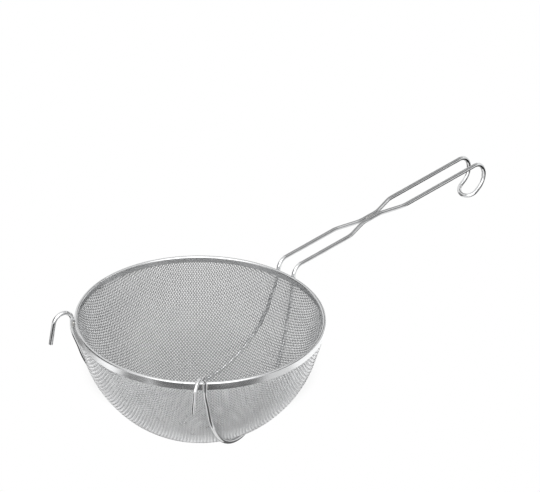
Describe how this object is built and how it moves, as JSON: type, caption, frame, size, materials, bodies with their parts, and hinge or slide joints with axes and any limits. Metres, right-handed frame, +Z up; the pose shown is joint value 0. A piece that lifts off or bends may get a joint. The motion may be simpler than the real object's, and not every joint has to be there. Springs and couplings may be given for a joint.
{
  "type": "wire strainer",
  "caption": "Round woven-wire strainer bowl in a folded rim band, on a bent-wire frame with pot hooks, under-bowl stays and a long handle ending in a hanging curl.",
  "frame": {"origin": "centre of the small flat under the bowl, on the surface that the bowl stands on", "axes": "+Z up through the mouth of the bowl, +X along the handle, +Y to the left seen from the hooks towards the handle"},
  "size_m": [0.5264, 0.24, 0.1333],
  "materials": {
    "wire_cloth": "bright woven stainless wire",
    "rim_strip": "satin rolled stainless strip",
    "frame_wire": "polished drawn stainless wire",
    "weld": "cleaned resistance weld"
  },
  "bodies": {
    "root": {"mesh_bowl": "wire_cloth", "rim_band": "rim_strip", "frame_wire": "frame_wire", "weld_left_hook": "weld", "weld_right_hook": "weld", "weld_left_foot": "weld", "weld_right_foot": "weld", "weld_handle_waist": "weld"}
  },
  "joints": []
}
